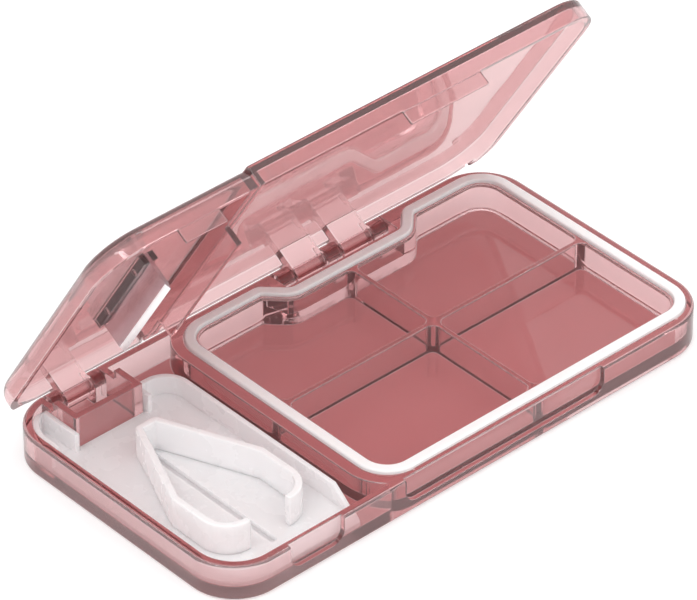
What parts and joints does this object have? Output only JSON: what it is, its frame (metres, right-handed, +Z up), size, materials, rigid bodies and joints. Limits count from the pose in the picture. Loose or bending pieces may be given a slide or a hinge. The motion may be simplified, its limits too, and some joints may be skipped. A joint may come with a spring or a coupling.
{
  "type": "pill splitter",
  "caption": "Pocket pill splitter: a low case with a bladed hinged lid over a V guide, and a sealed compartment box under a second hinged lid.",
  "frame": {"origin": "on the resting plane under the middle of the case", "axes": "+X along the case from the cutter end to the storage end, +Y from the latch side to the hinge side, +Z up"},
  "size_m": [0.12, 0.0671, 0.061],
  "materials": {
    "clear_pink": "clear glossy injection-moulded plastic, tinted pink",
    "silicone": "soft white silicone",
    "milky_plastic": "milky white semi-gloss plastic",
    "blade_steel": "polished, with a ground edge"
  },
  "bodies": {
    "base": {"base_shell": "clear_pink", "gasket": "silicone", "cutter_insert": "milky_plastic", "pill_guide": "milky_plastic", "cutter_hinge_pin": "clear_pink", "storage_hinge_pin": "clear_pink"},
    "storage_lid": {"storage_lid": "clear_pink"},
    "cutter_lid": {"cutter_lid": "clear_pink", "blade": "blade_steel", "blade_clamp": "clear_pink"}
  },
  "joints": [
    {"name": "storage_lid_hinge", "type": "hinge", "parent": "base", "child": "storage_lid", "pos_m": [0.0185, 0.0298, 0.0058], "axis": [-1, 0, 0], "range_deg": [-58.5, 51.5]},
    {"name": "cutter_lid_hinge", "type": "hinge", "parent": "base", "child": "cutter_lid", "pos_m": [-0.0439, 0.0298, 0.0058], "axis": [-1, 0, 0], "range_deg": [-58.5, 51.5]}
  ]
}
